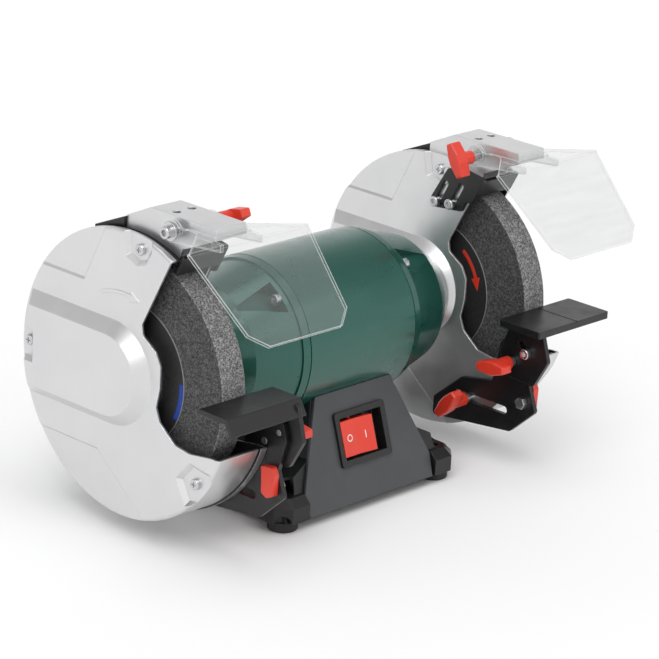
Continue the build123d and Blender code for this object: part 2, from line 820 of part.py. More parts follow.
def deflector_screws():
    seat_x = guard_plate_x - deflector_thickness - 2 * slip_gap
    length = deflector_thickness + 2 * slip_gap + guard_wall + 2.0
    return both_ends([facing_in(seat_x, y, z) * socket_screw(length) for y, z in deflector_screw_places()])


# ---------------------------------------------------------------- tool rests


def rest_bracket():
    """Sliding plate on the inner face of the guard, clamped through its slot."""
    outline = [
        (-133.0, -75.0),
        (-107.0, -99.0),
        (-20.0, -109.0),
        (-20.0, -92.0),
        (-50.0, -66.0),
        (-84.0, -60.0),
        (-90.0, -24.0),
        (-100.0, -13.0),
        (-128.0, -13.0),
        (-133.0, -28.0),
        (-125.0, -54.0),
    ]
    bracket = plate(outline, bracket_x, bracket_x + plate_thickness, corner=3.5)
    stud_y, stud_z = bracket_stud
    slot_width = 2 * stud_radius + 1.2
    bracket -= slot((stud_y + 14, stud_z), (stud_y - 40, stud_z), slot_width, bracket_x - 1, guard_plate_x)
    for place, radius in ((rest_stud, stud_radius), (guide_screw, screw_radius), (lock_stud, stud_radius)):
        bracket -= disc(radius + thread_gap, bracket_x - 1, guard_plate_x, *place)
    return bracket


def rest_arm(top_z):
    """Arm under the inner end of a tool rest, with a curved slot around its stud."""
    outline = [
        (-wheel_radius - 2 * rest_clearance_y, top_z),
        (-138.0, top_z),
        (-146.0, -26.0),
        (-132.0, -51.0),
        (-100.0, -48.0),
        (-94.0, -28.0),
    ]
    arm = plate(outline, arm_x, arm_x + plate_thickness, corner=4.0)
    arm -= disc(stud_radius + 0.08, arm_x - 1, arm_x + 6, *rest_stud)
    guide_radius = math.dist(rest_stud, guide_screw)
    half_width = screw_radius + 0.5
    start = math.degrees(math.atan2(guide_screw[1] - rest_stud[1], guide_screw[0] - rest_stud[0]))
    swept = ring(guide_radius + half_width, guide_radius - half_width, arm_x - 1, arm_x + 6, *rest_stud)
    far = guide_radius + 10
    sector = [(0, 0)]
    for angle in (start - rest_tilt_range - 2, start - rest_tilt_range / 2, start):
        sector.append((far * math.cos(math.radians(angle)), far * math.sin(math.radians(angle))))
    cutter = swept & (Pos(0, *rest_stud) * plate(sector, arm_x - 1, arm_x + 6))
    for angle in (start - rest_tilt_range - 2, start):
        y = rest_stud[0] + guide_radius * math.cos(math.radians(angle))
        z = rest_stud[1] + guide_radius * math.sin(math.radians(angle))
        cutter += disc(half_width, arm_x - 1, arm_x + 6, y, z)
    return arm - cutter


def flat_tool_rest():
    back_y = -wheel_radius - rest_clearance_y
    top_z = flat_rest_top_z
    table = block(*flat_rest_x, back_y - flat_rest_depth, back_y, top_z - flat_rest_thickness, top_z)
    table = chamfer(table.edges().filter_by(Axis.Z), 1.0)
    groove_half = groove_width / 2
    table -= block(
        groove_x - groove_half, groove_x + groove_half,
        back_y - flat_rest_depth - 1, back_y + 1,
        top_z - groove_depth, top_z + 1,
    )
    return table + rest_arm(top_z - flat_rest_thickness + 1)


def lip_tool_rest():
    """Left-hand rest: a bent sheet with a lip that slopes down at the front."""
    back_y = -wheel_radius - rest_clearance_y
    top_z = lip_rest_top_z
    tip_y, tip_z = lip_tip
    outline = [
        (back_y, top_z),
        (lip_fold_y, top_z),
        (tip_y, tip_z),
        (tip_y + lip_rest_thickness * 0.87, tip_z - 1.5),
        (lip_fold_y + 2, top_z - lip_rest_thickness),
        (back_y, top_z - lip_rest_thickness),
    ]
    table = plate(outline, *lip_rest_x, corner=1.4)
    return mirror(table + rest_arm(top_z - lip_rest_thickness + 1), about=Plane.YZ)


def rest_knob():
    tip_x = arm_x - arm_knob_length
    return wing_knob(tip_x, arm_x - slip_gap, *rest_stud, -6.0, stud_to=bracket_x + plate_thickness)


def bracket_knob():
    tip_x = bracket_x - arm_knob_length
    return wing_knob(tip_x, bracket_x - slip_gap, *bracket_stud, -52.0, stud_to=guard_plate_x + 4)


def lock_lever():
    """Short lever in front of the guard that clamps the bracket, on a socket screw through it."""
    y, z = lock_stud
    outline = [
        (y - 6.5, z - 5),
        (y - 7, z + 12),
        (y - 4, z + 18.5),
        (y + 7.5, z + 17),
        (y + 6.5, z + 9),
        (y + 6, z - 5),
        (y, z - 8),
    ]
    x0 = bracket_x + plate_thickness + slip_gap
    lever = plate(outline, x0, x0 + lever_thickness, corner=2.0)
    lever += disc(stud_radius, bracket_x - 1, x0 + 1, y, z)
    head = hexagon(9.0, bracket_x - slip_gap - 5, bracket_x - slip_gap, y, z)
    lever += disc(stud_radius, bracket_x - slip_gap - 2, bracket_x, y, z)
    return lever + head


def guide_screw_piece():
    return facing_in(arm_x - slip_gap, *guide_screw) * socket_screw(2 * (plate_thickness + slip_gap))


# ---------------------------------------------------------------- base


def panel_y(z):
    """Front of the panel at a height."""
    return panel_top_y + (z - base_top_z) / panel_rise_per_depth


def panel_plane():
    return Plane(
        origin=(0, panel_y(switch_z), switch_z),
        x_dir=(1, 0, 0),
        z_dir=(0, -panel_rise_per_depth, 1),
    )


def rear_plane(x, z):
    return Plane(origin=(x, -panel_y(z), z), x_dir=(-1, 0, 0), z_dir=(0, panel_rise_per_depth, 1))


def base_form(inset, bottom_z):
    """Tapered block of the base with a flare above the feet, drawn in by inset on its four sides."""
    top_z = base_top_z + 4
    front = panel_thickness * panel_slope + inset
    side = [
        (panel_y(top_z) + front, top_z),
        (-panel_y(top_z) - inset, top_z),
        (-panel_y(bottom_z) - inset, bottom_z),
        (panel_y(bottom_z) + front, bottom_z),
    ]
    half_widths = [
        (base_top_half_width, top_z),
        (base_waist_half_width, base_waist_z),
        (base_flare_half_width, base_flare_z),
        (base_bottom_half_width, base_knee_z),
        (base_bottom_half_width, bottom_z),
    ]
    right = [(half - inset, z) for half, z in half_widths]
    left = [(-half, z) for half, z in reversed(right)]
    across = extrude(Plane.XZ * make_face(Polyline(*right, *left, close=True)), amount=150, both=True)
    return plate(side, -150, 150) & across


def foot_block(x_sign, y_sign):
    height = foot_block_height
    x_low = base_corner_x - foot_block_length
    outline = make_face(Polyline(
        (x_low, base_corner_y - foot_block_depth),
        (base_corner_x, base_corner_y - foot_block_depth),
        (base_corner_x, base_corner_y - foot_chamfer),
        (base_corner_x - foot_chamfer, base_corner_y),
        (x_low, base_corner_y),
        close=True,
    ))
    foot = Pos(0, 0, base_bottom_z) * extrude(outline, amount=height)
    top_edges = foot.faces().sort_by(Axis.Z)[-1].edges()
    inner_y = base_corner_y - foot_block_depth
    outer_edges = [edge for edge in top_edges if edge.center().Y > inner_y + 1]
    outer_edges = [
        edge for edge in outer_edges if edge.center().X > x_low + 1 or edge.center().Y > base_corner_y - 1
    ]
    foot = chamfer(outer_edges, foot_top_chamfer)
    scoop_x = base_corner_x - foot_chamfer / 2
    scoop_y = base_corner_y - foot_chamfer / 2
    arch = Pos(scoop_x, scoop_y, base_bottom_z) * Rot(0, 0, 45) * Rot(0, 90, 0) * Cylinder(
        scoop_radius, 2 * scoop_depth
    )
    foot -= arch
    if x_sign < 0:
        foot = mirror(foot, about=Plane.YZ)
    if y_sign < 0:
        foot = mirror(foot, about=Plane.XZ)
    return foot


def corners():
    return [(x_sign, y_sign) for x_sign in (-1, 1) for y_sign in (-1, 1)]


def bolt_holes(radius, z0, z1):
    holes = Part()
    for x_sign, y_sign in corners():
        x = x_sign * bolt_spacing_x / 2
        y = y_sign * bolt_spacing_y / 2
        holes += Pos(x, y, (z0 + z1) / 2) * Cylinder(radius, z1 - z0)
    return holes


def plate_screw_places():
    return [(x, y) for x in (-86.0, 86.0) for y in (-34.0, 34.0)]


def gland_plane():
    return rear_plane(55.0, -100.0)


def base_casting():
    body = base_form(0, base_bottom_z)
    body -= disc(shell_radius + seat_gap, -120, 120)
    room = base_form(base_wall, base_bottom_z) - disc(shell_radius + seat_gap + base_wall, -120, 120)
    lug_height = 26.0
    for x, y in plate_screw_places():
        room -= Pos(x, y, base_bottom_z + lug_height / 2) * Cylinder(6.0, lug_height)
    body -= room
    body = body & block(-base_corner_x, base_corner_x, -base_corner_y, base_corner_y, -200, base_top_z + 4)
    for x_sign, y_sign in corners():
        body += foot_block(x_sign, y_sign)
    body -= bolt_holes(bolt_hole_radius, base_bottom_z - 1, base_bottom_z + foot_block_height + 1)
    body -= bolt_holes(bolt_head_room, base_bottom_z + foot_block_height, base_top_z)
    for x, y in plate_screw_places():
        body -= Pos(x, y, base_bottom_z) * Cylinder(screw_radius + thread_gap, 22)
    hole = Box(switch_body_width + 0.4, switch_body_height + 0.4, 40)
    body -= panel_plane().location * hole
    body -= gland_plane().location * Cylinder(8.0 + seat_gap, 30)
    for x, angle in mount_bolt_places():
        body -= Rot(angle, 0, 0) * Pos(x, 0, -shell_radius) * Cylinder(screw_radius + running_clearance, 20)
    return body


def front_panel():
    to_plane = panel_slope
    top = (base_top_z - switch_z) * to_plane
    knee = (panel_knee_z - switch_z) * to_plane
    bottom = (base_bottom_z - switch_z) * to_plane
    outline = Polyline(
        (-panel_top_half_width, top),
        (panel_top_half_width, top),
        (panel_knee_half_width, knee),
        (panel_knee_half_width - 1.4, bottom),
        (-panel_knee_half_width + 1.4, bottom),
        (-panel_knee_half_width, knee),
        close=True,
    )
    sheet = extrude(make_face(outline), amount=-panel_thickness)
    sheet -= Box(switch_body_width + 0.4, switch_body_height + 0.4, 40)
    return panel_plane().location * sheet - disc(shell_radius + slip_gap, -120, 120)


def switch_housing():
    frame = Pos(0, 0, switch_frame_thickness / 2 + seat_gap) * Box(
        switch_frame_width, switch_frame_height, switch_frame_thickness
    )
    frame = fillet(frame.edges().filter_by(Axis.Z), 3.0)
    body = Pos(0, 0, seat_gap - switch_body_depth / 2) * Box(
        switch_body_width, switch_body_height, switch_body_depth
    )
    shallow = Box(
        switch_body_width - 2 * switch_rim, switch_body_height - 2 * switch_rim, 2 * switch_recess_depth
    )
    well_half_width = rocker_half_width + 2.2
    well = Pos(rocker_x, 0, 0) * Box(2 * well_half_width, 2 * (rocker_half_height + slip_gap), 34)
    pins = Pos(rocker_x, 0, -rocker_pivot_depth) * Rot(90, 0, 0) * Cylinder(
        rocker_pin_radius + 0.06, 2 * rocker_half_height + 5
    )
    return panel_plane().location * (frame + body - shallow - well - pins)


def switch_rocker():
    half = rocker_half_width
    outline = Polyline(
        (-half, 5), (-half, 11), (0, 8.5), (half, 11), (half, 5), (9, -7), (-9, -7),
        close=True,
    )
    rocker = extrude(Plane.XZ * make_face(outline), amount=rocker_half_height, both=True)
    rocker += Rot(90, 0, 0) * Cylinder(rocker_pin_radius, 2 * rocker_half_height + 4)
    placed = Pos(rocker_x, 0, -rocker_pivot_depth) * Rot(0, -rocker_off_angle, 0) * rocker
    return panel_plane().location * placed


def cable_gland():
    """Lead inlet through the rear wall: flange outside, hollow neck and lock ring inside."""
    neck = Pos(0, 0, -3) * Cylinder(8.0, 18)
    flange = Pos(0, 0, 2 + seat_gap) * Cylinder(11.0, 4)
    lock = Pos(0, 0, -base_wall * panel_slope - 2.5) * extrude(
        RegularPolygon(11.0, 6, major_radius=False), amount=2.0
    )
    return gland_plane().location * (neck + flange + lock - Cylinder(3.9, 60))


def base_cover_plate():
    inside_x = base_corner_x - foot_block_length - 1
    inside_y = base_corner_y - foot_block_depth - 1
    low_half = base_bottom_half_width - 1
    front = panel_y(base_bottom_z) + panel_thickness * panel_slope + 1
    low_z = base_bottom_z - cover_plate_thickness
    sheet = block(-low_half, low_half, -inside_y, inside_y, low_z, base_bottom_z)
    sheet += block(-inside_x, inside_x, front, -front - 2, low_z, base_bottom_z)
    for x, y in plate_screw_places():
        sheet -= Pos(x, y, base_bottom_z) * Cylinder(screw_radius + running_clearance, 10)
    return Pos(0, 0, -seat_gap) * sheet


def rubber_feet():
    feet = []
    for x_sign, y_sign in corners():
        x = x_sign * bolt_spacing_x / 2
        y = y_sign * bolt_spacing_y / 2
        foot = Pos(x, y, base_bottom_z - foot_height / 2) * Cylinder(foot_radius, foot_height)
        foot = fillet(foot.edges().group_by(Axis.Z)[0], 1.5)
        feet.append(foot - Pos(x, y, base_bottom_z) * Cylinder(bolt_hole_radius, 40))
    return feet


def capacitor():
    radius = 17.0
    can = disc(radius, -52, 8, 34, base_bottom_z + radius + slip_gap)
    return fillet(can.edges().group_by(Axis.X)[-1], 2.0)


# ---------------------------------------------------------------- fasteners shared by several joints


def pan_head_screws():
    """The grinder's identical pan-head screws: covers, guards, holders and base plate."""
    ends = []
    for y, z, depth in cover_screw_places():
        ends.append(facing_out(cover_plane_x - depth + seat_gap, y, z) * pan_screw())
    for y, z in guard_screw_places():
        ends.append(facing_out(guard_face_x + guard_wall + seat_gap, y, z) * pan_screw())
    ends.append(facing_in(guard_plate_x + pocket_depth - seat_gap, *inner_pocket_screw) * pan_screw())
    seat_radius = liner_radius + slip_gap + guard_wall + seat_gap
    for x, angle in holder_screw_places():
        ends.append(Rot(angle, 0, 0) * Pos(x, 0, seat_radius) * pan_screw())
    below = base_bottom_z - cover_plate_thickness - 2 * seat_gap
    screws = both_ends(ends)
    for x, y in plate_screw_places():
        screws.append(Pos(x, y, below) * Rot(180, 0, 0) * pan_screw())
    return screws


save("base_casting", base_casting())
save("front_panel", front_panel())
save("switch_housing", switch_housing())
save("switch_rocker", switch_rocker())
save("cable_gland", cable_gland())
save("capacitor", capacitor())
save("base_cover_plate", base_cover_plate())
save("rubber_feet", *rubber_feet())
save("motor_shell", motor_shell())
save("stator_core", stator_core())
save("stator_windings", *stator_windings())
save("end_bell_bolts", *end_bell_bolts())
save("motor_mount_bolts", *motor_mount_bolts())
save("rotor_shaft", rotor_shaft())
save("rotor_core", rotor_core())
save("wheel_blotters", *blotters())
save("arbor_nuts", *both_ends([arbor_nut()]))
save("wheel_bushings", *both_ends([wheel_bushing()]))
save("pan_head_screws", *pan_head_screws())
save("deflector_screws", *deflector_screws())
save_pair("end_bell", end_bell())
save_pair("bearing", bearing())
save_pair("wheel", grinding_wheel())
save_pair("inner_flange", clamp_flange(inner_flange_x, wheel_inner_x - blotter_thickness - 1.2))
save_pair("outer_flange", clamp_flange(wheel_outer_x + blotter_thickness, wheel_outer_x + blotter_thickness))
save_pair("inner_guard", inner_guard())
save_pair("guard_cover", guard_cover())
save_pair("spark_liner", spark_liner())
save_pair("shield_holder", shield_holder())
save_pair("shield", shield())
save_pair("shield_bolt", shield_bolt())
save("right_shield_knob", shield_knob(62.0))
save("left_shield_knob", mirror(shield_knob(-24.0), about=Plane.YZ))
save_pair("spark_deflector", spark_deflector())
save_pair("rest_bracket", rest_bracket())
save("right_tool_rest", flat_tool_rest())
save("left_tool_rest", lip_tool_rest())
save_pair("rest_knob", rest_knob())
save_pair("bracket_knob", bracket_knob())
save_pair("lock_lever", lock_lever())
save_pair("guide_screw", guide_screw_piece())
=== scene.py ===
import json
import math

import bmesh
import bpy
from mathutils import Matrix, Vector


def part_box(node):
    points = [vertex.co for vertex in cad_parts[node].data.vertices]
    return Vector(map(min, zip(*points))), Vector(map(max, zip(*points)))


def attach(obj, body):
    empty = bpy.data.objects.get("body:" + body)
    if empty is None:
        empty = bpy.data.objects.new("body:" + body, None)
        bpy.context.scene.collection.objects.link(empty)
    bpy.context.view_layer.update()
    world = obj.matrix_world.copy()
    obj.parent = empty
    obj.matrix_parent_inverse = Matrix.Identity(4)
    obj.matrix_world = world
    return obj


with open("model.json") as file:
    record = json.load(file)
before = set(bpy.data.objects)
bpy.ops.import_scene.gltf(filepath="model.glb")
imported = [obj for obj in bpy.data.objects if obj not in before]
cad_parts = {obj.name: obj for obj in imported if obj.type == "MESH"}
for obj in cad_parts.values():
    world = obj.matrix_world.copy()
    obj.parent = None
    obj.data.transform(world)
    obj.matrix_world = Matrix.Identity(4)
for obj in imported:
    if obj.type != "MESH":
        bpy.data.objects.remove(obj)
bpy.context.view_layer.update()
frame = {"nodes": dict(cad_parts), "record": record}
nodes = frame["nodes"]
SIDES = (("left", -1.0), ("right", 1.0))
SPINDLE_HEIGHT = 0.135
COVER_BOSS_HEIGHT = 0.010
BLOTTER_THICKNESS = 0.0008
PANEL_POINT = (0.0, -0.0723333, 0.059)
ROCKER_X = -0.0065
ROCKER_PIVOT_DEPTH = 0.006
ROCKER_OFF_ANGLE = math.radians(8.0)
ROCKER_HALF_WIDTH = 0.0165
# The two halves of the rocker's face slope down to its middle.
ROCKER_FACE_HEIGHT = 0.00975
ROCKER_FACE_RISE = 0.0025
PANEL_TILT = math.atan2(1.0, 3.0)
RING_OUTER = 0.0030
RING_INNER = 0.0022
BAR_HALF_WIDTH = 0.0004
BAR_HALF_LENGTH = 0.0030
CAMERA_ANGLES = (-47.06, 19.10, 3.12)
CAMERA_DISTANCE = 2.601
CAMERA_TARGET = (0.0326, 0.0, 0.1224)
CAMERA_LENS = 170.2
SENSOR_WIDTH = 36.0
# Each sun: name, azimuth, elevation, softness (all in degrees) and strength.
SUNS = (
    ("overhead", 20.0, 80.0, 60.0, 1.25),
    ("key", 62.0, 48.0, 35.0, 0.85),
    ("front", -20.0, 40.0, 40.0, 0.20),
)
FLOOR_HALF = 6.0
# Each arrow: radius, start and end in degrees, half widths of shaft and head, angle of the head.
COVER_ARROW = (0.0675, 68.0, 106.0, 0.0014, 0.0046, 9.0)
WHEEL_ARROW = (0.0475, 126.0, 172.0, 0.0018, 0.0050, 14.0)
COVER_ARROW_HEIGHT = 0.0006
WHEEL_ARROW_HEIGHT = 0.00012
PRINT_HEIGHT = 0.0001
# Soft edges of the blue patch on the left-hand label, as radii and as heights over the spindle.
PATCH_INNER = (0.0528, 0.0532)
PATCH_OUTER = (0.0572, 0.0575)
PATCH_TOP = (0.004, 0.006)
PATCH_BOTTOM = (-0.026, -0.024)
# Radii of the light ring painted along the label's outer edge as a highlight.
LABEL_RIM_HIGHLIGHT = (0.0574, 0.0577)


# ---------------------------------------------------------------- material helpers


class Surface:
    """A Principled material with small helpers for its node tree. Coordinates are metres in the row frame."""

    def __init__(self, name, **constants):
        self.material = bpy.data.materials.new(name)
        self.material.use_nodes = True
        self.tree = self.material.node_tree
        self.shader = self.tree.nodes["Principled BSDF"]
        for socket, value in constants.items():
            self.shader.inputs[socket.replace("_", " ")].default_value = value
        self.place = self.node("ShaderNodeTexCoord").outputs["Object"]
        self.normal = None

    def node(self, kind, **settings):
        made = self.tree.nodes.new(kind)
        for key, value in settings.items():
            setattr(made, key, value)
        return made

    def link(self, source, target):
        self.tree.links.new(source, target)

    def noise(self, scale, detail=4.0, roughness=0.55, stretch=None):
        texture = self.node("ShaderNodeTexNoise")
        texture.inputs["Scale"].default_value = scale
        texture.inputs["Detail"].default_value = detail
        texture.inputs["Roughness"].default_value = roughness
        self.link(self.stretched(stretch), texture.inputs["Vector"])
        return texture.outputs["Fac"]

    def stretched(self, stretch):
        if stretch is None:
            return self.place
        mapping = self.node("ShaderNodeMapping")
        mapping.inputs["Scale"].default_value = stretch
        self.link(self.place, mapping.inputs["Vector"])
        return mapping.outputs["Vector"]

    def cells(self, scale, output="Color"):
        texture = self.node("ShaderNodeTexVoronoi")
        texture.inputs["Scale"].default_value = scale
        self.link(self.place, texture.inputs["Vector"])
        return texture.outputs[output]

    def remap(self, source, low, high, out_low, out_high):
        mapped = self.node("ShaderNodeMapRange")
        mapped.inputs["From Min"].default_value = low
        mapped.inputs["From Max"].default_value = high
        mapped.inputs["To Min"].default_value = out_low
        mapped.inputs["To Max"].default_value = out_high
        self.link(source, mapped.inputs["Value"])
        return mapped.outputs["Result"]

    def mix(self, factor, first, second):
        blend = self.node("ShaderNodeMix", data_type="RGBA")
        self.feed(factor, blend.inputs[0])
        self.feed(first, blend.inputs[6])
        self.feed(second, blend.inputs[7])
        return blend.outputs[2]

    def math(self, operation, first, second=0.0):
        made = self.node("ShaderNodeMath", operation=operation)
        self.feed(first, made.inputs[0])
        self.feed(second, made.inputs[1])
        return made.outputs[0]

    def feed(self, value, socket):
        if isinstance(value, bpy.types.NodeSocket):
            self.link(value, socket)
        elif isinstance(value, tuple):
            socket.default_value = (*value, 1.0)[:4]
        else:
            socket.default_value = value

    def edges(self, radius, low=0.02, high=0.22):
        """Mask that is 1 along edges, from the gap between the bevelled and the true normal."""
        bevel = self.node("ShaderNodeBevel", samples=6)
        bevel.inputs["Radius"].default_value = radius
        plain = self.node("ShaderNodeNewGeometry").outputs["Normal"]
        dot = self.node("ShaderNodeVectorMath", operation="DOT_PRODUCT")
        self.link(bevel.outputs["Normal"], dot.inputs[0])
        self.link(plain, dot.inputs[1])
        return self.remap(self.math("SUBTRACT", 1.0, dot.outputs["Value"]), low, high, 0.0, 1.0)

    def rounded(self, radius):
        """Shades edges as if they were rounded."""
        bevel = self.node("ShaderNodeBevel", samples=6)
        bevel.inputs["Radius"].default_value = radius
        self.normal = bevel.outputs["Normal"]

    def bump(self, height, strength, distance):
        bump = self.node("ShaderNodeBump")
        bump.inputs["Strength"].default_value = strength
        bump.inputs["Distance"].default_value = distance
        self.link(height, bump.inputs["Height"])
        if self.normal is not None:
            self.link(self.normal, bump.inputs["Normal"])
        self.normal = bump.outputs["Normal"]

    def parts(self, source):
        split = self.node("ShaderNodeSeparateXYZ")
        self.link(source, split.inputs[0])
        return split.outputs

    def outward_x(self):
        """Component of the surface normal along X, away from the middle of the machine."""
        normal = self.parts(self.node("ShaderNodeTexCoord").outputs["Normal"])[0]
        return self.math("MULTIPLY", normal, self.math("SIGN", self.parts(self.place)[0]))

    def outward_radial(self):
        """Component of the surface normal away from the spindle."""
        centred = self.node("ShaderNodeVectorMath", operation="SUBTRACT")
        self.link(self.place, centred.inputs[0])
        centred.inputs[1].default_value = (0.0, 0.0, SPINDLE_HEIGHT)
        flat = self.node("ShaderNodeVectorMath", operation="MULTIPLY")
        self.link(centred.outputs[0], flat.inputs[0])
        flat.inputs[1].default_value = (0.0, 1.0, 1.0)
        unit = self.node("ShaderNodeVectorMath", operation="NORMALIZE")
        self.link(flat.outputs[0], unit.inputs[0])
        dot = self.node("ShaderNodeVectorMath", operation="DOT_PRODUCT")
        self.link(unit.outputs[0], dot.inputs[0])
        self.link(self.node("ShaderNodeTexCoord").outputs["Normal"], dot.inputs[1])
        return dot.outputs["Value"]

    def radius(self):
        """Distance from the spindle."""
        parts = self.parts(self.place)
        up = self.math("SUBTRACT", parts[2], SPINDLE_HEIGHT)
        squares = self.math("ADD", self.math("MULTIPLY", parts[1], parts[1]), self.math("MULTIPLY", up, up))
        return self.math("SQRT", squares)

    def gloss_split(self, mask, metal_on, metal_off):
        """Sets how metallic the surface is, inside and outside the mask."""
        self.feed(self.remap(mask, 0.0, 1.0, metal_off, metal_on), self.shader.inputs["Metallic"])

    def colour(self, source):
        self.feed(source, self.shader.inputs["Base Color"])

    def rough(self, source):
        self.feed(source, self.shader.inputs["Roughness"])

    def done(self):
        if self.normal is not None:
            self.link(self.normal, self.shader.inputs["Normal"])
        return self.material


def enamel(
    name, base, shade, roughness, grain, metallic=0.0, coat=0.0, edge_wear_highlight=None, round_radius=0.0009
):
    """Sprayed enamel: fine orange peel, faint clouding, and edges painted lighter in patches, partly wear and
    partly painted highlight.
    """
    surface = Surface(name, Metallic=metallic, Coat_Weight=coat, Coat_Roughness=0.15)
    if round_radius:
        surface.rounded(round_radius)
    cloud = surface.remap(surface.noise(9.0, 5.0), 0.35, 0.65, 0.0, 1.0)
    colour = surface.mix(cloud, base, shade)
    # Edges lighter in patches: partly wear, partly a painted highlight.
    if edge_wear_highlight:
        patches = surface.remap(surface.noise(240.0), 0.42, 0.62, 0.2, 1.0)
        worn_and_lit_edges = surface.math("MULTIPLY", surface.edges(0.0010, 0.08, 0.30), patches)
        colour = surface.mix(worn_and_lit_edges, colour, edge_wear_highlight)
    surface.colour(colour)
    surface.rough(surface.remap(surface.noise(60.0, 6.0), 0.3, 0.7, roughness - 0.06, roughness + 0.07))
    surface.bump(surface.noise(1400.0, 3.0), grain, 0.0002)
    return surface.done()


def silver_enamel(name="silver_enamel", inside=0.0):
    """Silver coat. Inside is the sign of the outward X direction towards the wheel side; faces turned that
    way, and faces turned towards the spindle, get painted shade, near black and not metallic.
    """
    surface = Surface(name, Coat_Weight=0.15, Coat_Roughness=0.2)
    surface.rounded(0.0011)
    cloud = surface.remap(surface.noise(9.0, 5.0), 0.35, 0.65, 0.0, 1.0)
    colour = surface.mix(cloud, (0.70, 0.70, 0.705), (0.66, 0.66, 0.67))
    # Edges lighter in patches: partly wear, partly a painted highlight.
    patches = surface.remap(surface.noise(240.0), 0.42, 0.62, 0.2, 1.0)
    worn_and_lit_edges = surface.math("MULTIPLY", surface.edges(0.0012), patches)
    colour = surface.mix(worn_and_lit_edges, colour, (0.88, 0.88, 0.88))
    # Painted shade: faces inside the guard turn near black and lose their metal sheen.
    if inside:
        across = surface.math("MULTIPLY", surface.outward_x(), inside)
        around = surface.math("MULTIPLY", surface.outward_radial(), -1.0)
        interior_painted_shade = surface.remap(surface.math("MAXIMUM", across, around), 0.55, 0.62, 0.0, 1.0)
        colour = surface.mix(interior_painted_shade, colour, (0.022, 0.022, 0.024))
        surface.gloss_split(interior_painted_shade, 0.0, 0.86)
    else:
        surface.shader.inputs["Metallic"].default_value = 0.86
    surface.colour(colour)
    surface.rough(surface.remap(surface.noise(60.0, 6.0), 0.3, 0.7, 0.30, 0.40))
    surface.bump(surface.noise(1400.0, 3.0), 0.10, 0.0002)
    return surface.done()


def green_enamel():
    return enamel(
        "green_enamel", (0.007, 0.092, 0.068), (0.006, 0.086, 0.063), 0.30, 0.06,
        metallic=0.45, coat=0.6, edge_wear_highlight=(0.03, 0.16, 0.12), round_radius=0.0,
    )


def black_powder():
    return enamel(
        "black_casting", (0.0045, 0.0045, 0.005), (0.006, 0.006, 0.0065), 0.40, 0.25,
        edge_wear_highlight=(0.02, 0.02, 0.022),
    )


def black_sheet():
    return enamel(
        "black_steel", (0.005, 0.005, 0.0055), (0.007, 0.007, 0.008), 0.36, 0.2,
        edge_wear_highlight=(0.04, 0.04, 0.044),
    )


def moulded(name, base, shade, roughness, grain, scale=2600.0):
    """Moulded plastic with a spark-eroded grain."""
    surface = Surface(name)
    surface.rounded(0.0008)
    surface.colour(surface.mix(surface.remap(surface.noise(30.0), 0.35, 0.65, 0.0, 1.0), base, shade))
    surface.rough(surface.remap(surface.noise(90.0, 5.0), 0.3, 0.7, roughness - 0.05, roughness + 0.06))
    surface.bump(surface.noise(scale, 2.0), grain, 0.00015)
    return surface.done()


def grey_panel():
    return moulded("grey_panel", (0.056, 0.059, 0.064), (0.050, 0.053, 0.058), 0.50, 0.4)


def black_plastic():
    return moulded("black_plastic", (0.006, 0.006, 0.0065), (0.009, 0.009, 0.01), 0.36, 0.3)


def red_plastic(name="red_plastic", steel_from=None, steel_to=None):
    """Red moulding. Between the two distances from the middle, its steel collar and stud show."""
    surface = Surface(name)
    surface.rounded(0.0010)
    tone = surface.remap(surface.noise(30.0), 0.35, 0.65, 0.0, 1.0)
    colour = surface.mix(tone, (0.72, 0.046, 0.024), (0.66, 0.040, 0.020))
    if steel_from is not None:
        away = surface.math("ABSOLUTE", surface.parts(surface.place)[0])
        after = surface.remap(away, steel_from - 0.0001, steel_from + 0.0001, 0.0, 1.0)
        before = surface.remap(away, steel_to - 0.0001, steel_to + 0.0001, 1.0, 0.0)
        steel = surface.math("MULTIPLY", after, before)
        colour = surface.mix(steel, colour, (0.62, 0.62, 0.63))
        surface.gloss_split(steel, 1.0, 0.0)
    surface.colour(colour)
    surface.rough(surface.remap(surface.noise(90.0, 5.0), 0.3, 0.7, 0.28, 0.38))
    surface.bump(surface.noise(1800.0, 2.0), 0.12, 0.00015)
    return surface.done()


def bushing_plastic():
    return moulded("bushing_plastic", (0.52, 0.49, 0.42), (0.47, 0.44, 0.38), 0.5, 0.2)


def black_rubber():
    surface = Surface("black_rubber")
    surface.rounded(0.0008)
    surface.colour(surface.mix(surface.noise(50.0, 6.0), (0.012, 0.012, 0.012), (0.024, 0.023, 0.022)))
    surface.rough(surface.remap(surface.noise(120.0), 0.3, 0.7, 0.66, 0.82))
    surface.bump(surface.noise(900.0, 5.0), 0.3, 0.0003)
    return surface.done()


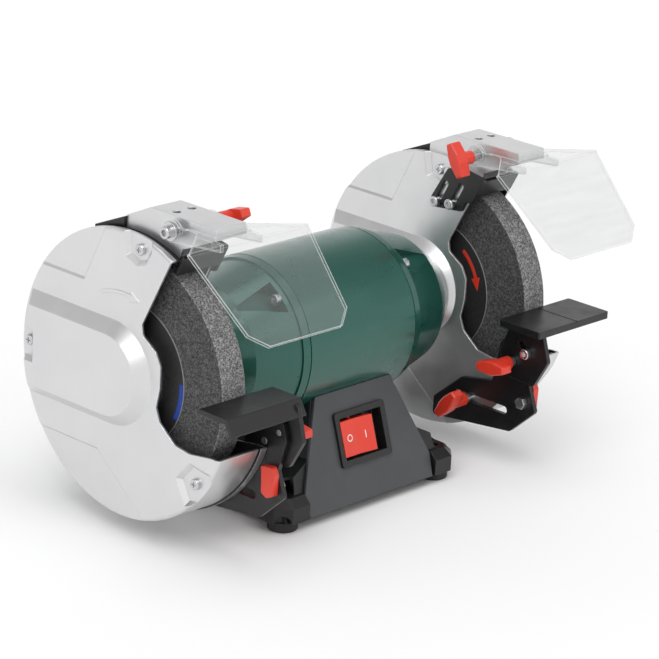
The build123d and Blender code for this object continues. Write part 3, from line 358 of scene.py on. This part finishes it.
def grit():
    """Bonded abrasive: grey grains of mixed lightness, with pores between them, and side faces painted darker
    than the tread as shade.
    """
    surface = Surface("grit")
    fine = surface.cells(1500.0)
    coarse = surface.cells(620.0)
    grains = surface.node("ShaderNodeSeparateColor")
    surface.link(fine, grains.inputs[0])
    patches = surface.node("ShaderNodeSeparateColor")
    surface.link(coarse, patches.inputs[0])
    fine_share = surface.math("MULTIPLY", grains.outputs[0], 0.6)
    coarse_share = surface.math("MULTIPLY", patches.outputs[1], 0.4)
    level = surface.math("ADD", fine_share, coarse_share)
    ramp = surface.node("ShaderNodeValToRGB")
    ramp.color_ramp.elements[0].position = 0.12
    ramp.color_ramp.elements[0].color = (0.045, 0.045, 0.045, 1.0)
    ramp.color_ramp.elements[1].position = 0.92
    ramp.color_ramp.elements[1].color = (0.42, 0.42, 0.415, 1.0)
    middle = ramp.color_ramp.elements.new(0.5)
    middle.color = (0.17, 0.17, 0.17, 1.0)
    surface.link(level, ramp.inputs[0])
    # Painted shade: the side faces are darkened to about a third of the tread's lightness.
    painted_side_shade = surface.remap(surface.outward_radial(), 0.4, 0.6, 0.34, 1.0)
    shade = surface.node("ShaderNodeCombineColor")
    for channel in shade.inputs:
        surface.link(painted_side_shade, channel)
    grains_with_painted_shade = surface.node("ShaderNodeMix", data_type="RGBA", blend_type="MULTIPLY")
    grains_with_painted_shade.inputs[0].default_value = 1.0
    surface.link(ramp.outputs[0], grains_with_painted_shade.inputs[6])
    surface.link(shade.outputs[0], grains_with_painted_shade.inputs[7])
    surface.colour(grains_with_painted_shade.outputs[2])
    surface.rough(surface.remap(surface.noise(500.0), 0.3, 0.7, 0.75, 0.95))
    surface.bump(level, 0.7, 0.0006)
    return surface.done()


def blotter_paper():
    """Black card labels with a thin painted highlight along their outer edge. The left-hand wheel's has a
    blue patch near that edge.
    """
    surface = Surface("blotter_paper")
    base = surface.mix(surface.noise(200.0, 6.0), (0.010, 0.010, 0.010), (0.02, 0.02, 0.02))
    distance = surface.radius()
    left = surface.remap(surface.parts(surface.place)[0], -0.001, 0.001, 1.0, 0.0)
    band = surface.math(
        "MULTIPLY",
        surface.remap(distance, *PATCH_INNER, 0.0, 1.0),
        surface.remap(distance, *PATCH_OUTER, 1.0, 0.0),
    )
    height = surface.parts(surface.place)[2]
    top, bottom = ([SPINDLE_HEIGHT + level for level in edge] for edge in (PATCH_TOP, PATCH_BOTTOM))
    below_top = surface.remap(height, *top, 1.0, 0.0)
    above_bottom = surface.remap(height, *bottom, 0.0, 1.0)
    between = surface.math("MULTIPLY", below_top, above_bottom)
    patch = surface.math("MULTIPLY", between, surface.math("MULTIPLY", band, left))
    blue = surface.mix(patch, base, (0.010, 0.045, 0.30))
    # Painted highlight: a light grey ring along the label's outer edge.
    label_edge_highlight = surface.remap(distance, *LABEL_RIM_HIGHLIGHT, 0.0, 1.0)
    surface.colour(surface.mix(label_edge_highlight, blue, (0.28, 0.28, 0.28)))
    surface.rough(surface.remap(surface.noise(300.0), 0.3, 0.7, 0.55, 0.75))
    surface.bump(surface.noise(1600.0, 4.0), 0.25, 0.0002)
    return surface.done()


def turned_steel(name, base, roughness):
    """Machined steel, with fine tool marks round the spindle axis and a little oil staining."""
    surface = Surface(name, Metallic=1.0)
    surface.rounded(0.0006)
    marks = surface.noise(700.0, 2.0, stretch=(1.0, 0.06, 0.06))
    surface.colour(surface.mix(surface.noise(40.0, 5.0), base, tuple(value * 0.8 for value in base)))
    surface.rough(surface.remap(marks, 0.3, 0.7, roughness - 0.08, roughness + 0.1))
    surface.bump(marks, 0.08, 0.0001)
    return surface.done()


def zinc_screws():
    return turned_steel("zinc_screws", (0.66, 0.66, 0.68), 0.26)


def plain_steel():
    return turned_steel("plain_steel", (0.52, 0.52, 0.53), 0.34)


def copper_wire():
    surface = Surface("copper_wire", Metallic=0.9)
    strands = surface.noise(900.0, 2.0, stretch=(1.0, 0.08, 0.08))
    surface.colour(surface.mix(strands, (0.55, 0.20, 0.08), (0.36, 0.12, 0.05)))
    surface.rough(surface.remap(strands, 0.3, 0.7, 0.25, 0.45))
    surface.bump(strands, 0.5, 0.0005)
    return surface.done()


def clear_sheet():
    """Clear polycarbonate: a faint grey veil, cut edges painted light and more opaque as a highlight, with
    wiping marks.
    """
    surface = Surface("clear_sheet", IOR=1.5)
    wipes = surface.noise(120.0, 4.0, stretch=(0.15, 1.0, 1.0))
    # Painted highlight: the cut edges are coloured light and made more opaque.
    edges = surface.edges(0.0016, 0.01, 0.12)
    surface.colour(surface.mix(edges, (0.30, 0.32, 0.315), (0.86, 0.88, 0.87)))
    surface.rough(surface.remap(wipes, 0.35, 0.7, 0.04, 0.12))
    veil = surface.remap(wipes, 0.3, 0.7, 0.13, 0.18)
    alpha = surface.math("ADD", veil, surface.math("MULTIPLY", edges, 0.55))
    surface.feed(alpha, surface.shader.inputs["Alpha"])
    surface.bump(surface.noise(35.0, 2.0), 0.03, 0.0005)
    return surface.done()


def mark_paint(name, colour):
    surface = Surface(name)
    surface.colour(surface.mix(surface.noise(150.0), colour, tuple(value * 0.9 for value in colour)))
    surface.rough(surface.remap(surface.noise(400.0), 0.3, 0.7, 0.4, 0.5))
    surface.bump(surface.noise(900.0), 0.1, 0.0001)
    return surface.done()


MATERIALS = {
    "silver_enamel": silver_enamel(),
    "green_enamel": green_enamel(),
    "black_casting": black_powder(),
    "black_steel": black_sheet(),
    "grey_panel": grey_panel(),
    "black_plastic": black_plastic(),
    "red_plastic": red_plastic(),
    "bushing_plastic": bushing_plastic(),
    "black_rubber": black_rubber(),
    "grit": grit(),
    "blotter_paper": blotter_paper(),
    "plain_steel": plain_steel(),
    "zinc_screws": zinc_screws(),
    "copper_wire": copper_wire(),
    "clear_sheet": clear_sheet(),
}
KNOB_RED_LENGTHS = {"shield_knob": 0.021, "rest_knob": 0.025, "bracket_knob": 0.025}
LEVER_THICKNESS = 0.0061


def own_materials():
    """Materials for the nodes whose look changes from one region to another: painted shade on the inner faces
    of the guards, steel collars and studs on the red knobs and levers.
    """
    own = {}
    cover = silver_enamel("silver_cover_painted_shade", -1.0)
    guard = silver_enamel("silver_guard_painted_shade", 1.0)
    for side, _ in SIDES:
        own[side + "_guard_cover"] = cover
        own[side + "_inner_guard"] = guard
    for kind, red_length in KNOB_RED_LENGTHS.items():
        reach = [abs(corner[0]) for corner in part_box("right_" + kind)]
        material = red_plastic("red_" + kind, min(reach) + red_length, max(reach) + 0.001)
        for side, _ in SIDES:
            own[side + "_" + kind] = material
    reach = [abs(corner[0]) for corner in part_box("right_lock_lever")]
    lever = red_plastic("red_lock_lever", min(reach) - 0.001, max(reach) - LEVER_THICKNESS)
    for side, _ in SIDES:
        own[side + "_lock_lever"] = lever
    return own


def paint_cad_nodes():
    """Gives each CAD node the detailed material of its slot in the record, or its own one."""
    own = own_materials()
    for entry in frame["record"]["subparts"]:
        node = nodes[entry["node"]]
        for slot in node.material_slots:
            slot.material = own.get(entry["node"], MATERIALS[entry["material_slot"]])


# ---------------------------------------------------------------- printed and raised marks


def solid_piece(name, outline, thickness, turn, material, body):
    """Thin solid from an outline in the XY plane of turn, reaching thickness to either side of it."""
    form = bmesh.new()
    low = [form.verts.new(turn @ Vector((x, y, -thickness))) for x, y in outline]
    high = [form.verts.new(turn @ Vector((x, y, thickness))) for x, y in outline]
    form.faces.new(high)
    form.faces.new(low[::-1])
    count = len(outline)
    for index in range(count):
        after = (index + 1) % count
        form.faces.new((low[index], low[after], high[after], high[index]))
    bmesh.ops.recalc_face_normals(form, faces=form.faces)
    bmesh.ops.triangulate(form, faces=form.faces)
    mesh = bpy.data.meshes.new(name)
    form.to_mesh(mesh)
    form.free()
    mesh.materials.append(material)
    piece = bpy.data.objects.new(name, mesh)
    bpy.context.scene.collection.objects.link(piece)
    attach(piece, body)
    return piece


def arrow_outline(radius, start, end, half_width, head_half_width, head_angle):
    """Curved arrow round the origin, from start to end in degrees."""
    steps = 10
    turn = 1 if end > start else -1
    neck = end - turn * head_angle
    angles = [start + (neck - start) * index / steps for index in range(steps + 1)]

    def at(angle, distance):
        return (distance * math.cos(math.radians(angle)), distance * math.sin(math.radians(angle)))

    outer = [at(angle, radius + half_width) for angle in angles]
    inner = [at(angle, radius - half_width) for angle in reversed(angles)]
    head = [at(neck, radius + head_half_width), at(end, radius), at(neck, radius - head_half_width)]
    return outer + head + inner


def side_frame(x):
    """Frame on the spindle at x whose XY plane is the YZ plane of the machine."""
    return Matrix(((0, 0, 1, x), (1, 0, 0, 0), (0, 1, 0, SPINDLE_HEIGHT), (0, 0, 0, 1)))


def add_arrows():
    """Turning direction: raised on the left-hand cover, printed on the right-hand wheel label."""
    cover_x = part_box("left_guard_cover")[0][0] + COVER_BOSS_HEIGHT
    outline = arrow_outline(*COVER_ARROW)
    solid_piece(
        "cover_arrow", outline, COVER_ARROW_HEIGHT, side_frame(cover_x),
        MATERIALS["silver_enamel"], "housing",
    )
    label_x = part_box("right_wheel")[0][0] - BLOTTER_THICKNESS
    outline = arrow_outline(*WHEEL_ARROW)
    solid_piece(
        "wheel_arrow", outline, WHEEL_ARROW_HEIGHT, side_frame(label_x),
        MATERIALS["red_plastic"], "rotor",
    )


def add_rocker_marks():
    """Ring on the off side and bar on the on side of the rocker."""
    panel = Matrix.Translation(Vector(PANEL_POINT)) @ Matrix.Rotation(math.pi / 2 - PANEL_TILT, 4, "X")
    pivot = Matrix.Translation((ROCKER_X, 0.0, -ROCKER_PIVOT_DEPTH))
    rest = panel @ pivot @ Matrix.Rotation(-ROCKER_OFF_ANGLE, 4, "Y")
    paint = mark_paint("mark_white", (0.80, 0.80, 0.78))
    centre = Vector((ROCKER_HALF_WIDTH / 2, 0.0, ROCKER_FACE_HEIGHT))
    slope = math.atan2(ROCKER_FACE_RISE, ROCKER_HALF_WIDTH)
    steps = 24
    turns = [math.tau * index / steps for index in range(steps + 1)]
    outer = [(RING_OUTER * math.cos(turn), RING_OUTER * math.sin(turn)) for turn in turns]
    inner = [(RING_INNER * math.cos(turn), RING_INNER * math.sin(turn)) for turn in reversed(turns)]
    circle = outer + inner
    half_width, half_length = BAR_HALF_WIDTH, BAR_HALF_LENGTH
    bar = [
        (-half_width, -half_length), (half_width, -half_length),
        (half_width, half_length), (-half_width, half_length),
    ]
    left = rest @ Matrix.Translation((-centre.x, 0.0, centre.z)) @ Matrix.Rotation(slope, 4, "Y")
    right = rest @ Matrix.Translation(centre) @ Matrix.Rotation(-slope, 4, "Y")
    solid_piece("off_mark", circle, PRINT_HEIGHT, left, paint, "rocker")
    solid_piece("on_mark", bar, PRINT_HEIGHT, right, paint, "rocker")


# ---------------------------------------------------------------- camera, floor and light


def add_camera():
    """Camera at the left front, a little above the spindle, with a long lens."""
    azimuth, elevation, roll = (math.radians(angle) for angle in CAMERA_ANGLES)
    distance = CAMERA_DISTANCE
    target = Vector(CAMERA_TARGET)
    flat = math.cos(elevation)
    back = Vector((math.sin(azimuth) * flat, -math.cos(azimuth) * flat, math.sin(elevation)))
    level = Vector((0, 0, 1)).cross(back).normalized()
    upright = back.cross(level)
    right = level * math.cos(roll) + upright * math.sin(roll)
    up = upright * math.cos(roll) - level * math.sin(roll)
    turn = Matrix((right, up, back)).transposed().to_4x4()
    camera_data = bpy.data.cameras.new("camera")
    camera_data.lens = CAMERA_LENS
    camera_data.sensor_width = SENSOR_WIDTH
    camera = bpy.data.objects.new("camera", camera_data)
    camera.matrix_world = Matrix.Translation(target + back * distance) @ turn
    bpy.context.scene.collection.objects.link(camera)
    bpy.context.scene.camera = camera


def add_floor():
    mesh = bpy.data.meshes.new("floor")
    half = FLOOR_HALF
    corners = [(-half, -half, 0), (half, -half, 0), (half, half, 0), (-half, half, 0)]
    mesh.from_pydata(corners, [], [(0, 1, 2, 3)])
    floor = bpy.data.objects.new("floor", mesh)
    bpy.context.scene.collection.objects.link(floor)
    surface = Surface("floor_paper")
    surface.colour(surface.mix(surface.noise(3.0), (0.90, 0.90, 0.90), (0.88, 0.88, 0.88)))
    surface.rough(0.9)
    mesh.materials.append(surface.done())


def add_sun(name, azimuth, elevation, softness, strength):
    """Soft distant light. Azimuth 0 shines towards +Y, 90 towards +X."""
    data = bpy.data.lights.new(name, "SUN")
    data.energy = strength
    data.angle = math.radians(softness)
    light = bpy.data.objects.new(name, data)
    across, up = math.radians(azimuth), math.radians(elevation)
    towards = Vector((math.sin(across) * math.cos(up), math.cos(across) * math.cos(up), -math.sin(up)))
    light.rotation_euler = towards.to_track_quat("-Z", "Y").to_euler()
    bpy.context.scene.collection.objects.link(light)


def add_world():
    """Studio surround: bright near the horizon, darker overhead."""
    world = bpy.data.worlds.new("studio")
    world.use_nodes = True
    tree = world.node_tree
    background = tree.nodes["Background"]
    direction = tree.nodes.new("ShaderNodeTexCoord")
    split = tree.nodes.new("ShaderNodeSeparateXYZ")
    ramp = tree.nodes.new("ShaderNodeMapRange")
    tree.links.new(direction.outputs["Generated"], split.inputs[0])
    tree.links.new(split.outputs[2], ramp.inputs["Value"])
    ramp.interpolation_type = "SMOOTHSTEP"
    for socket, value in (("From Min", 0.40), ("From Max", 0.80), ("To Min", 0.92), ("To Max", 0.30)):
        ramp.inputs[socket].default_value = value
    tree.links.new(ramp.outputs["Result"], background.inputs["Strength"])
    background.inputs["Color"].default_value = (1.0, 1.0, 1.0, 1.0)
    bpy.context.scene.world = world


def add_lights():
    add_world()
    for sun in SUNS:
        add_sun(*sun)


paint_cad_nodes()
add_arrows()
add_rocker_marks()
add_camera()
add_floor()
add_lights()
bpy.context.scene.view_settings.view_transform = "Standard"
